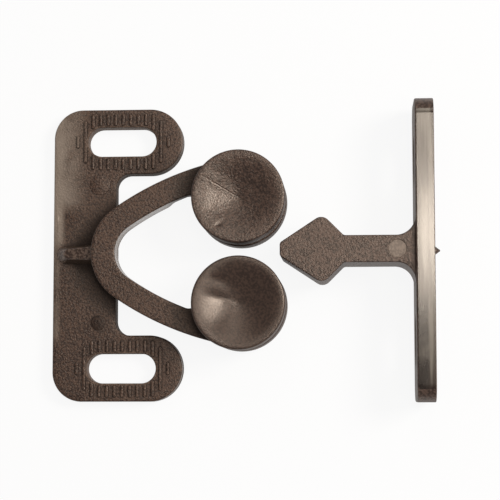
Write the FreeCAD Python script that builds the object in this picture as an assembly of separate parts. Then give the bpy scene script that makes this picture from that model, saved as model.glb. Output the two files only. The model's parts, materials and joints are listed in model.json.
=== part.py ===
import FreeCAD
import Part
import math
import os

# A rotary knuckle catch, moulded in plastic. The catch is a mounting plate with a
# V-shaped spring, whose two arms each carry a dished roller, the knuckle. The striker
# on the door pushes its diamond head between the rollers, which turn, part and close
# behind it.
#
# Lengths are in millimetres. The origin lies on the mounting face, midway between the
# two screw slots. +X points out of the catch towards the striker, +Y towards the upper
# arm and +Z away from the mounting face.

# Mounting plate
plate_length = 50.0
plate_left = 11.75
plate_right = 10.45
plate_thickness = 3.0
plate_corner_r = 5.0
lobe_width = 11.2
waist_x = -0.95
waist_fillet_r = 2.4
plate_bevel = 0.3

# Screw slots of the mounting plate
slot_length = 11.8
slot_width = 5.0

# Grip ribs that stand round each screw slot, so that a screw head holds its setting
grip_count = 13
grip_pitch = 1.3
grip_width = 0.5
grip_bevel = 0.16
grip_height = 0.25
grip_land = 0.3
grip_field_length = 15.8
grip_field_width = 9.7
grip_field_r = 5.5
grip_offset = 0.2

# V spring: a round apex on the plate, and two arms that bow inwards to their eyes
apex_x = 4.5
apex_r = 7.1
band_width = 4.05
band_height = 4.4
arm_heading = 34.8
arm_rise = 0.2
root_clearance = 0.05
root_setback = 1.2
band_bevel = 0.2

# Gusset behind the apex, whose top climbs towards the band
gusset_foot_x = -11.1
gusset_foot_width = 3.0
gusset_top_x = -9.7
gusset_top_width = 1.8
gusset_spread = 0.5
gusset_height = 1.5
gusset_climb = 2.1
gusset_overlap = 0.9

# Arm ends, thinned from below to an open eye that lies between a roller's two discs
roller_x = 20.5
roller_y = 8.8
eye_r = 7.1
eye_thickness = 2.0
eye_ramp_x = 7.95
eye_ramp_length = 1.6
eye_throat_r = 1.5
eye_mouth_width = 5.2
eye_mouth_flare = 15.0
eye_lip_r = 0.4
eye_tip_r = 0.9

# Rollers, each a spool of two dished discs on a neck
roller_r = 7.75
disc_height = 4.4
disc_gap = 0.15
disc_bevel = 0.3
rim_width = 0.45
dish_depth = 1.8
neck_r = 3.0
neck_clearance = 0.05

# Striker screw plate, standing on edge beside the catch
striker_x = 49.65
striker_length = 50.3
striker_width = 12.0
striker_thickness = 3.15
striker_corner_r = 3.0
striker_bevel = 0.25
striker_slot_spacing = 30.0
striker_slot_length = 8.5
striker_slot_width = 4.5
prick_r = 0.9
prick_length = 1.1

# Striker stem and diamond head
head_depth = 10.0
nose_x = 27.35
nose_width = 2.2
shoulder_x = 34.4
shoulder_width = 11.5
stem_start_x = 37.9
stem_width = 4.5
shoulder_r = 1.6
nose_r = 0.7
stem_start_r = 0.8
stem_root_r = 3.2
ejector_x = 46.7
ejector_r = 1.55
ejector_depth = 0.12

# Heights and places that follow from the sizes above
half_band = band_width / 2
band_top = plate_thickness + band_height
arm_bottom = plate_thickness + arm_rise
slot_spacing = plate_length - lobe_width
eye_bottom = band_top - eye_thickness
root = FreeCAD.Vector(
    apex_x - apex_r * math.sin(math.radians(arm_heading)),
    apex_r * math.cos(math.radians(arm_heading)),
    0,
)
eye = FreeCAD.Vector(roller_x, roller_y, 0)
UP = FreeCAD.Vector(0, 0, 1)
ALONG_X = FreeCAD.Vector(1, 0, 0)
OVERSIZE = 1.0


def vec(x, y, z=0.0):
    return FreeCAD.Vector(x, y, z)


def polar(centre, radius, angle):
    """The point at an angle in degrees on a circle in the XY plane."""
    turn = math.radians(angle)
    return centre + vec(radius * math.cos(turn), radius * math.sin(turn))


def arc(start, middle, end):
    return Part.Arc(start, middle, end).toShape()


def line(start, end):
    return Part.LineSegment(start, end).toShape()


def prism(edges, bottom, top):
    """The upright solid over a closed outline, between two heights."""
    outline = Part.Wire(Part.__sortEdges__(edges))
    outline.translate(vec(0, 0, bottom))
    return Part.Face(outline).extrude(UP * (top - bottom))


def stadium(length, width):
    """The outline of a slot along X, centred on the origin."""
    r = width / 2
    reach = length / 2 - r
    return [
        line(vec(-reach, r), vec(reach, r)),
        arc(vec(reach, r), vec(reach + r, 0), vec(reach, -r)),
        line(vec(reach, -r), vec(-reach, -r)),
        arc(vec(-reach, -r), vec(-reach - r, 0), vec(-reach, r)),
    ]


def bevelled_bar(length, width, bevel):
    """The outline of a narrow bar along Y with cut corners, centred on the origin."""
    x = width / 2
    y = length / 2
    half = [vec(x, bevel - y), vec(x, y - bevel), vec(x - bevel, y)]
    points = half + [vec(-p.x, p.y) for p in reversed(half)]
    points.insert(0, vec(x - bevel, -y))
    points.append(vec(bevel - x, -y))
    return [line(a, b) for a, b in zip(points, points[1:] + points[:1])]


def stadium_half_width(length, width, x):
    """Half the width of a slot along X, at the distance x from its centre."""
    r = width / 2
    beyond = max(0.0, abs(x) - (length / 2 - r))
    return math.sqrt(max(0.0, r * r - beyond * beyond))


def upright_edges(solid, places):
    """The vertical edges of a solid that pass through the given points."""
    found = []
    for edge in solid.Edges:
        ends = [v.Point for v in edge.Vertexes]
        if len(ends) != 2:
            continue
        if math.hypot(ends[0].x - ends[1].x, ends[0].y - ends[1].y) > 1e-6:
            continue
        for place in places:
            if math.hypot(ends[0].x - place.x, ends[0].y - place.y) < 1e-4:
                found.append(edge)
    return found


def edges_at_height(solid, height):
    """The edges of a solid that lie flat at one height."""
    return [
        edge
        for edge in solid.Edges
        if abs(edge.BoundBox.ZMin - height) < 1e-4
        and abs(edge.BoundBox.ZMax - height) < 1e-4
    ]


def mirrored(shape):
    """The copy of a shape on the other side of the catch's middle plane."""
    return shape.mirror(vec(0, 0, 0), vec(0, 1, 0))


def plate_outline():
    """The C-shaped outline: a straight left edge, two round-ended lobes and a waist."""
    top = plate_length / 2
    bay = top - lobe_width
    end_r = lobe_width / 2
    end_x = plate_right - end_r
    corner_x = plate_corner_r - plate_left
    fillet_x = waist_x + waist_fillet_r
    edges = []
    for side in (1, -1):
        corner = vec(corner_x, side * (top - plate_corner_r))
        fillet = vec(fillet_x, side * (bay - waist_fillet_r))
        corner_middle = polar(corner, plate_corner_r, side * 135)
        fillet_middle = polar(fillet, waist_fillet_r, side * 135)
        edges += [
            arc(vec(-plate_left, corner.y), corner_middle, vec(corner.x, side * top)),
            line(vec(corner.x, side * top), vec(end_x, side * top)),
            arc(
                vec(end_x, side * top),
                vec(plate_right, side * (top - end_r)),
                vec(end_x, side * bay),
            ),
            line(vec(end_x, side * bay), vec(fillet.x, side * bay)),
            arc(vec(fillet.x, side * bay), fillet_middle, vec(waist_x, fillet.y)),
        ]
    edges.append(line(vec(waist_x, -fillet.y), vec(waist_x, fillet.y)))
    edges.append(line(vec(-plate_left, -corner.y), vec(-plate_left, corner.y)))
    return edges


def grip_ribs():
    """The narrow ribs round one slot, centred on the origin."""
    land_length = slot_length + 2 * grip_land
    land_width = slot_width + 2 * grip_land
    foot = plate_thickness - grip_height
    ribs = []
    for index in range(grip_count):
        step = (index - (grip_count - 1) / 2) * grip_pitch
        x = step + grip_offset
        round_end = stadium_half_width(grip_field_length, 2 * grip_field_r, step)
        outer = min(grip_field_width / 2, round_end)
        inner = stadium_half_width(land_length, land_width, x)
        if outer - inner < grip_width:
            continue
        spans = [(inner, outer), (-outer, -inner)] if inner > 0 else [(-outer, outer)]
        for low, high in spans:
            outline = bevelled_bar(high - low, grip_width, grip_bevel)
            rib = prism(outline, foot, plate_thickness + grip_height)
            rib.translate(vec(x, (low + high) / 2))
            ribs.append(rib)
    return ribs


def tongue(tip_x, end_x, width):
    """An outline along X with a round tip, that widens towards its square end."""
    r = width / 2
    end = r + gusset_spread / 2
    corners = [vec(tip_x + r, -r), vec(end_x, -end), vec(end_x, end), vec(tip_x + r, r)]
    edges = [line(a, b) for a, b in zip(corners, corners[1:])]
    return edges + [arc(corners[3], vec(tip_x, 0), corners[0])]


def gusset():
    """The tongue that backs the apex, with sloping sides and a top that climbs."""
    end_x = apex_x - apex_r - half_band + gusset_overlap
    foot = tongue(gusset_foot_x, end_x, gusset_foot_width)
    top = Part.Wire(Part.__sortEdges__(tongue(gusset_top_x, end_x, gusset_top_width)))
    climb = math.atan(gusset_climb / (end_x - gusset_overlap - gusset_top_x))
    top.translate(vec(0, 0, plate_thickness + gusset_height))
    tip = vec(gusset_top_x, 0, plate_thickness + gusset_height)
    top.rotate(tip, vec(0, -1, 0), math.degrees(climb))
    base = Part.Wire(Part.__sortEdges__(foot))
    base.translate(vec(0, 0, plate_thickness))
    boss = Part.makeLoft([base, top], True, True)
    return boss.fuse(prism(foot, 0, plate_thickness))


def apex_band():
    """The round of the V, with a hollow at each end in which an arm's root lies.

    It stops short of the roots' centres, so that the sides of the hollows end blunt.
    """
    swing = 90 + arm_heading + math.degrees(root_setback / apex_r)
    centre = vec(apex_x, 0)
    edges = []
    for radius in (apex_r - half_band, apex_r + half_band):
        edges.append(
            arc(
                polar(centre, radius, swing),
                polar(centre, radius, 180),
                polar(centre, radius, -swing),
            )
        )
    for side in (1, -1):
        edges.append(
            line(
                polar(centre, apex_r - half_band, side * swing),
                polar(centre, apex_r + half_band, side * swing),
            )
        )
    band = prism(edges, plate_thickness, band_top)
    walls = [
        edge
        for edge in edges_at_height(band, band_top)
        if hasattr(edge.Curve, "Radius")
    ]
    band = band.makeChamfer(band_bevel, walls)
    for side in (1, -1):
        hollow = Part.makeCylinder(
            half_band + root_clearance,
            band_height + OVERSIZE,
            vec(root.x, side * root.y, plate_thickness),
            UP,
        )
        band = band.cut(hollow)
    return band


def mounting_plate():
    plate = prism(plate_outline(), 0, plate_thickness)
    plate = plate.makeChamfer(plate_bevel, edges_at_height(plate, plate_thickness))
    additions = [gusset(), apex_band()]
    cuts = []
    for side in (1, -1):
        place = vec(0, side * slot_spacing / 2)
        for rib in grip_ribs():
            rib.translate(place)
            additions.append(rib)
        slot = prism(stadium(slot_length, slot_width), -OVERSIZE, plate_thickness + OVERSIZE)
        slot.translate(place)
        cuts.append(slot)
    plate = plate.fuse(additions).cut(cuts)
    return plate.removeSplitter()


def bow_radius():
    """The radius of an arm's centre line, whose outer edge runs tangent into the eye."""
    inwards = vec(
        math.sin(math.radians(arm_heading)), -math.cos(math.radians(arm_heading))
    )
    across = root - eye
    excess = half_band - eye_r
    return (excess * excess - across.dot(across)) / (2 * (across.dot(inwards) - excess))


def arm_outline():
    """The upper arm from above: a round root, two concentric bows and the round eye."""
    bow = bow_radius()
    heading = math.radians(arm_heading)
    inwards = vec(math.sin(heading), -math.cos(heading))
    forwards = vec(math.cos(heading), math.sin(heading))
    bow_centre = root + inwards * bow
    to_eye = eye - bow_centre
    tangent = bow_centre + to_eye * ((bow + half_band) / to_eye.Length)

    # The inner bow meets the eye's circle where both distances hold.
    inner = bow - half_band
    reach = to_eye.Length
    along = (inner * inner - eye_r * eye_r + reach * reach) / (2 * reach)
    aside = math.sqrt(inner * inner - along * along)
    towards = to_eye * (1 / reach)
    junction = bow_centre + towards * along + vec(-towards.y, towards.x) * aside

    def bow_middle(radius, start, end):
        middle = (start + end) * 0.5 - bow_centre
        return bow_centre + middle * (radius / middle.Length)

    outer_root = root - inwards * half_band
    inner_root = root + inwards * half_band
    far_side = eye + vec(eye_r, 0)
    edges = [
        arc(inner_root, root - forwards * half_band, outer_root),
        arc(outer_root, bow_middle(bow + half_band, outer_root, tangent), tangent),
        arc(tangent, far_side, junction),
        arc(junction, bow_middle(inner, junction, inner_root), inner_root),
    ]
    return edges, junction


def arm_relief():
    """The space below the arm's thinned end, behind a ramp."""
    far = roller_x + eye_r + OVERSIZE
    low = arm_bottom - OVERSIZE
    slope = (eye_bottom - arm_bottom) / eye_ramp_length
    start = eye_ramp_x - OVERSIZE / slope
    corners = [
        vec(start, 0, low),
        vec(eye_ramp_x + eye_ramp_length, 0, eye_bottom),
        vec(far, 0, eye_bottom),
        vec(far, 0, low),
    ]
    profile = Part.Face(Part.makePolygon(corners + corners[:1]))
    return profile.extrude(vec(0, roller_y + eye_r + OVERSIZE, 0))


def eye_mouth():
    """The way into the eye from the catch's middle, and the corners that it leaves.

    It is narrower than the roller's neck, which snaps in past the two lips, and it
    widens outwards so that the neck finds its way.
    """
    bore_r = neck_r + neck_clearance
    half = eye_mouth_width / 2
    lip = vec(half, -math.sqrt(bore_r * bore_r - half * half))
    flare = math.radians(eye_mouth_flare)
    outwards = vec(math.sin(flare), -math.cos(flare))
    along = lip.dot(outwards)
    run = math.sqrt(along * along + eye_r * eye_r - bore_r * bore_r) - along
    tip = lip + outwards * run
    wall = [lip - outwards * OVERSIZE, lip + outwards * 2 * eye_r]
    other = [vec(-p.x, p.y) for p in reversed(wall)]
    corners = [eye + p for p in wall + other]
    edges = [line(a, b) for a, b in zip(corners, corners[1:] + corners[:1])]
    lips = [eye + lip, eye + vec(-lip.x, lip.y)]
    tips = [eye + tip, eye + vec(-tip.x, tip.y)]
    return prism(edges, arm_bottom - OVERSIZE, band_top + OVERSIZE), lips, tips


def upper_arm():
    edges, junction = arm_outline()
    arm = prism(edges, arm_bottom, band_top)
    arm = arm.makeFillet(eye_throat_r, upright_edges(arm, [junction]))
    mouth, lips, tips = eye_mouth()
    bore = Part.makeCylinder(
        neck_r + neck_clearance,
        band_height + 2 * OVERSIZE,
        eye + UP * (arm_bottom - OVERSIZE),
        UP,
    )
    arm = arm.cut(bore.fuse(mouth))
    arm = arm.makeFillet(eye_lip_r, upright_edges(arm, lips))
    arm = arm.makeFillet(eye_tip_r, upright_edges(arm, tips))
    arm = arm.makeChamfer(band_bevel, edges_at_height(arm, band_top))
    return arm.cut(arm_relief())


def roller():
    """A spool: two dished discs, on a neck that turns in an arm's open eye."""
    bottom = band_top + disc_gap
    top = bottom + disc_height
    middle = (band_top + eye_bottom) / 2
    upper = [
        (0, top - dish_depth),
        (roller_r - rim_width, top),
        (roller_r - disc_bevel, top),
        (roller_r, top - disc_bevel),
        (roller_r, bottom + disc_bevel),
        (roller_r - disc_bevel, bottom),
        (neck_r, bottom),
    ]
    lower = [(radius, 2 * middle - height) for radius, height in reversed(upper)]
    profile = [vec(radius, 0, height) for radius, height in upper + lower]
    outline = Part.makePolygon(profile + profile[:1])
    spool = Part.Face(outline).revolve(vec(0, 0), UP, 360)
    spool.translate(eye)
    return spool


def head_outline():
    """The stem and its diamond head from above, back to the screw plate."""
    half = [
        (nose_x, nose_width / 2),
        (shoulder_x, shoulder_width / 2),
        (stem_start_x, stem_width / 2),
        (striker_x + striker_thickness / 2, stem_width / 2),
    ]
    upper = [vec(x, y) for x, y in half]
    lower = [vec(x, -y) for x, y in reversed(half)]
    corners = upper + lower
    edges = [line(a, b) for a, b in zip(corners, corners[1:] + corners[:1])]
    return edges, upper[:3]


def striker_head():
    bottom = (striker_width - head_depth) / 2
    top = bottom + head_depth
    edges, corners = head_outline()
    head = prism(edges, bottom, top)
    for corner, radius in zip(corners, (nose_r, shoulder_r, stem_start_r)):
        places = [corner, vec(corner.x, -corner.y)]
        head = head.makeFillet(radius, upright_edges(head, places))
    return head, bottom, top


def striker_screw_plate():
    """The screw plate, drawn flat about the origin and then stood on its long edge."""
    half_length = striker_length / 2
    half_width = striker_width / 2
    plate = Part.makeBox(
        striker_thickness,
        striker_length,
        striker_width,
        vec(striker_x, -half_length, 0),
    )
    corners = [
        edge
        for edge in plate.Edges
        if abs(edge.BoundBox.XLength - striker_thickness) < 1e-6
    ]
    plate = plate.makeFillet(striker_corner_r, corners)
    front = [
        edge
        for edge in plate.Edges
        if abs(edge.BoundBox.XMax - striker_x) < 1e-4
    ]
    plate = plate.makeChamfer(striker_bevel, front)
    slots = []
    for side in (1, -1):
        slot = prism(
            stadium(striker_slot_length, striker_slot_width),
            -OVERSIZE,
            striker_thickness + OVERSIZE,
        )
        slot.rotate(vec(0, 0), UP, 90)
        slot.rotate(vec(0, 0), vec(0, 1), 90)
        slot.translate(vec(striker_x, side * striker_slot_spacing / 2, half_width))
        slots.append(slot)
    return plate.cut(slots)


def striker():
    head, bottom, top = striker_head()
    body = striker_screw_plate().fuse(head)
    roots = [vec(striker_x, side * stem_width / 2) for side in (1, -1)]
    body = body.makeFillet(stem_root_r, upright_edges(body, roots))
    prick = Part.makeCone(
        prick_r,
        0,
        prick_length,
        vec(striker_x + striker_thickness, 0, striker_width / 2),
        ALONG_X,
    )
    mark = Part.makeCylinder(
        ejector_r, ejector_depth + OVERSIZE, vec(ejector_x, 0, top - ejector_depth), UP
    )
    return body.fuse(prick).cut(mark)


def export(name, shape):
    if shape.ShapeType == "Compound" and len(shape.Solids) == 1:
        shape = shape.Solids[0]
    if not shape.isValid() or len(shape.Solids) != 1:
        raise ValueError(f"{name} is not one valid solid")
    shape.exportStep(os.path.join("parts", name + ".step"))
    box = shape.BoundBox
    print(
        f"{name}: {shape.Volume:.1f} mm3, x {box.XMin:.2f} to {box.XMax:.2f},"
        f" y {box.YMin:.2f} to {box.YMax:.2f}, z {box.ZMin:.2f} to {box.ZMax:.2f}"
    )


def main():
    os.makedirs("parts", exist_ok=True)
    arm = upper_arm()
    knuckle = roller()
    export("mounting_plate", mounting_plate())
    export("upper_arm", arm)
    export("lower_arm", mirrored(arm))
    export("upper_roller", knuckle)
    export("lower_roller", mirrored(knuckle))
    export("striker", striker())


main()
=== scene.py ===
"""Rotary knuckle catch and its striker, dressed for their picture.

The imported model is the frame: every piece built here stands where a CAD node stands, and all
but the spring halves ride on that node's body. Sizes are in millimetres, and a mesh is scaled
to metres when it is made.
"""

import json
import logging
import math
from collections.abc import Callable, Sequence
from dataclasses import KW_ONLY, dataclass, field, replace
from enum import Enum

import bmesh
import bpy
import numpy as np
from bmesh.types import BMesh, BMVert
from bpy.types import ID, Material, Mesh, Node, NodeOutputs, NodeSocket, NodeTree, Object
from mathutils import Euler, Matrix, Vector, geometry, noise


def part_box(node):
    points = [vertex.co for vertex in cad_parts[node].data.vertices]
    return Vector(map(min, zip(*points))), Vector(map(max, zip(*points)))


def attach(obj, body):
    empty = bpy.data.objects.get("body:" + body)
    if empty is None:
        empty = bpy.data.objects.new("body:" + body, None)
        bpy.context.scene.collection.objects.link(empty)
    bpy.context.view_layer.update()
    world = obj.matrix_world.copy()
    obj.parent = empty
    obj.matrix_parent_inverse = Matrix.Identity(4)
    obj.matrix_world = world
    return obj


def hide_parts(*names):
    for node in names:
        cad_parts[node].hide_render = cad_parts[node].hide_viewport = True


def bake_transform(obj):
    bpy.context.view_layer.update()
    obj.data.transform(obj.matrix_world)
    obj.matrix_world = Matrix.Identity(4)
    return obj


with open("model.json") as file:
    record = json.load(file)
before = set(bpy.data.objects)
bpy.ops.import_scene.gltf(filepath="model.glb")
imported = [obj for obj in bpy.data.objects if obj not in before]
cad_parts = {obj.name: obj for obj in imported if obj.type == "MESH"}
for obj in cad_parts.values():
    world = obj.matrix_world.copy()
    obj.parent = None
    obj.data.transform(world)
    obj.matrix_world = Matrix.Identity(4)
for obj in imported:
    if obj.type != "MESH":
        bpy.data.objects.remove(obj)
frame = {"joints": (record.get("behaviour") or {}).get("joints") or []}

LOG = logging.getLogger("knuckle_catch")
MM = 0.001

# Points nearer than this are one point.
SAME_PLACE = 1e-5
# Where its facets aren't given, an arc turns by no more than this at each, in radians, and has at
# least so many.
FACET_TURN = 0.14
FEWEST_FACETS = 3
# A round end's corners have this share of half its width, so that they never meet.
ROUND_SHARE = 0.999
# Rows of a staggered grid lie this share of its pitch apart, and its points keep this share clear.
ROW_SHARE = 0.866
CLEAR_SHARE = 0.6
# The longest piece of an arc in the rim of a screw slot.
HOLE_STEP = 0.2
# The triangulation keeps what lies inside its edges, and joins points nearer than this.
INSIDE_ONLY = 1
WELD = 1e-7
# A level side's run is divided by this instead of by nothing.
LEAST_RUN = 1e-15
# How strongly a large face keeps its own normal, out of 100.
FACE_WEIGHT = 80
# An edge stays sharp where its faces turn by more than this, in degrees.
CREASE = 38.0

Height = float | Callable[[float, float], float]
Colour = tuple[float, float, float]
Feed = NodeSocket | float | Colour
Feeds = dict[str | int, Feed]
Skins = dict[str, Material]

# The two inputs and the output of a mix node, for colours and for numbers.
MIX_SOCKETS = {"RGBA": (6, 7, 2), "FLOAT": (2, 3, 0)}


class Side(Enum):
    """The two halves of the catch, by the sign of Y."""

    UPPER = 1
    LOWER = -1

    @property
    def label(self) -> str:
        """The word that the frame's bodies and nodes start with."""
        return self.name.lower()


def node_box(node: str) -> tuple[Vector, Vector]:
    """The lowest and highest corner of a CAD node, in millimetres."""
    low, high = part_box(node)
    return low / MM, high / MM


def joint_place(name: str) -> Vector:
    """The point that a joint of the frame turns about, in millimetres."""
    found = next(joint for joint in frame["joints"] if joint["name"] == name)
    return Vector(found["pos_m"]) / MM


def clamped(share: float) -> float:
    """A share held between 0 and 1."""
    return max(0.0, min(1.0, share))


def eased(share: float) -> float:
    """A share held between 0 and 1, with a soft start and a soft end."""
    held = clamped(share)
    return held * held * (3 - 2 * held)


def quarter(steps: int) -> list[float]:
    """The turns of a quarter circle in a number of steps, in radians."""
    return [math.pi / 2 * step / steps for step in range(steps + 1)]


def bearing(away: Vector) -> float:
    """The direction of a vector from above, in degrees."""
    return math.degrees(math.atan2(away.y, away.x))


def turned(x: float, y: float, turn: float) -> tuple[float, float]:
    """How far a point lies along an axis at a turn in degrees, and how far to its left."""
    cosine, sine = math.cos(math.radians(turn)), math.sin(math.radians(turn))
    return x * cosine + y * sine, -x * sine + y * cosine


# Outlines and meshes


class Outline:
    """A closed outline whose material lies on the left of the direction of travel."""

    def __init__(self, step: float = 0.3, facets: int = 0) -> None:
        """Starts an empty outline.

        Args:
            step: The longest piece of an arc.
            facets: How many pieces every arc has, or 0 to go by the step.
        """
        self.step = step
        self.facets = facets
        self.places: list[Vector] = []
        self.inward: list[Vector] = []

    def add(self, place: Vector, inward: Vector) -> None:
        """Adds a point, unless it repeats the last one.

        Args:
            place: The point.
            inward: The direction from it into the material.
        """
        if not self.places or (self.places[-1] - place).length >= SAME_PLACE:
            self.places.append(place)
            self.inward.append(inward)

    def arc(self, centre: Vector, radius: float, start: float, end: float) -> None:
        """Adds an arc.

        Args:
            centre: Centre of the arc.
            radius: Radius of the arc.
            start: Angle in degrees at which it starts.
            end: Angle at which it ends, below start where it runs clockwise.
        """
        sweep = math.radians(end - start)
        side = 1 if sweep > 0 else -1
        by_step = math.ceil(abs(sweep) * radius / self.step)
        by_turn = math.ceil(abs(sweep) / FACET_TURN)
        pieces = self.facets or max(FEWEST_FACETS, by_step, by_turn)
        for index in range(pieces + 1):
            turn = math.radians(start) + sweep * index / pieces
            away = Vector((math.cos(turn), math.sin(turn)))
            self.add(centre + away * radius, away * -side)

    def inset(self, depth: float) -> list[Vector]:
        """The outline's points, moved into the material."""
        return [p + n * depth for p, n in zip(self.places, self.inward)]

    def polygon(self, corners: Sequence[tuple[float, float, float]]) -> "Outline":
        """Adds straight sides and rounded corners, all the way round.

        Args:
            corners: For each corner its two coordinates and the radius of its rounding.

        Returns:
            The outline itself.
        """
        count = len(corners)
        for index, (x, y, radius) in enumerate(corners):
            corner = Vector((x, y))
            before = (Vector(corners[index - 1][:2]) - corner).normalized()
            after = (Vector(corners[(index + 1) % count][:2]) - corner).normalized()
            half = math.acos(max(-1.0, min(1.0, before.dot(after)))) / 2
            centre = corner + (before + after).normalized() * (radius / math.sin(half))
            reach = radius / math.tan(half)
            start, end = (bearing(corner + way * reach - centre) for way in (before, after))
            self.arc(centre, radius, start, start + (end - start + 180) % 360 - 180)
        if (self.places[-1] - self.places[0]).length < SAME_PLACE:
            self.places.pop()
            self.inward.pop()
        return self

    def slot(self, centre: tuple[float, float], size: tuple[float, float]) -> "Outline":
        """Adds a round-ended bar.

        Args:
            centre: Its middle.
            size: Its size along each axis.

        Returns:
            The outline itself.
        """
        (x, y), (wide, high) = centre, (size[0] / 2, size[1] / 2)
        radius = min(wide, high) * ROUND_SHARE
        corners = [(-wide, -high), (wide, -high), (wide, high), (-wide, high)]
        return self.polygon([(x + a, y + b, radius) for a, b in corners])

    def as_hole(self) -> "Outline":
        """Turns the outline's material to its outside.

        Returns:
            The outline itself.
        """
        self.places.reverse()
        self.inward = [-n for n in reversed(self.inward)]
        return self


@dataclass(frozen=True)
class Dent:
    """A round pin mark sunk into the top of a slab."""

    x: float
    y: float
    radius: float
    depth: float
    draft: float = 0.08
    facets: int = 40

    def drop(self, x: float, y: float) -> float:
        """How far the surface lies below its level at a point."""
        away = math.hypot(x - self.x, y - self.y)
        return self.depth * clamped((self.radius - away) / self.draft)

    def rings(self) -> list[list[Vector]]:
        """The two circles at the top and the foot of its wall."""
        turns = [math.tau * index / self.facets for index in range(self.facets)]
        return [
            [Vector((self.x + r * math.cos(t), self.y + r * math.sin(t))) for t in turns]
            for r in (self.radius, self.radius - self.draft)
        ]


def ring_edges(start: int, count: int) -> list[tuple[int, int]]:
    """The edges of a closed ring of points, as pairs of indices from the first one on."""
    return [(start + i, start + (i + 1) % count) for i in range(count)]


def walled(built: BMesh, rows: Sequence[Sequence[BMVert]], finish: int = 0) -> None:
    """Joins closed rows of points into a wall.

    Args:
        built: The mesh that is being made.
        rows: The rows from the lowest up, all with the same number of points.
        finish: Index of the wall's material.
    """
    for lower, upper in zip(rows, rows[1:]):
        for i, j in ring_edges(0, len(lower)):
            built.faces.new((lower[i], lower[j], upper[j], upper[i])).material_index = finish


def made_mesh(built: BMesh, name: str) -> Mesh:
    """The mesh of what has been built, which is used up.

    Args:
        built: What has been built.
        name: Name of the mesh.

    Returns:
        The mesh.
    """
    mesh = bpy.data.meshes.new(name)
    built.to_mesh(mesh)
    built.free()
    return mesh


def within(points: np.ndarray, loop: np.ndarray) -> np.ndarray:
    """Tells which points lie inside a closed loop.

    Args:
        points: Array of points, one to a row.
        loop: Array of the loop's corners.

    Returns:
        An array of truth values.
    """
    inside = np.zeros(len(points), bool)
    for a, b in zip(loop, np.roll(loop, -1, axis=0)):
        crosses = (a[1] > points[:, 1]) != (b[1] > points[:, 1])
        if crosses.any():
            rise = (points[:, 1] - a[1]) / (b[1] - a[1] + LEAST_RUN)
            inside ^= crosses & (points[:, 0] < a[0] + rise * (b[0] - a[0]))
    return inside


def inner_points(loops: Sequence[np.ndarray], pitch: float) -> list[Vector]:
    """A staggered grid of points inside the first loop, clear of every loop.

    Args:
        loops: The outer loop, then holes and other lines to keep clear of.
        pitch: Distance between the points.

    Returns:
        The points.
    """
    low, high = loops[0].min(0), loops[0].max(0)
    columns = np.arange(low[0] + pitch / 2, high[0], pitch)
    rows = np.arange(low[1] + pitch / 2, high[1], pitch * ROW_SHARE)
    grid = np.array([(x + pitch / 2 * (r % 2), y) for r, y in enumerate(rows) for x in columns])
    grid = grid[within(grid, loops[0])]
    for loop in loops:
        gaps = np.linalg.norm(grid[:, None, :] - loop[None, :, :], axis=2).min(1)
        grid = grid[gaps > pitch * CLEAR_SHARE]
    return [Vector(point) for point in grid]


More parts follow.
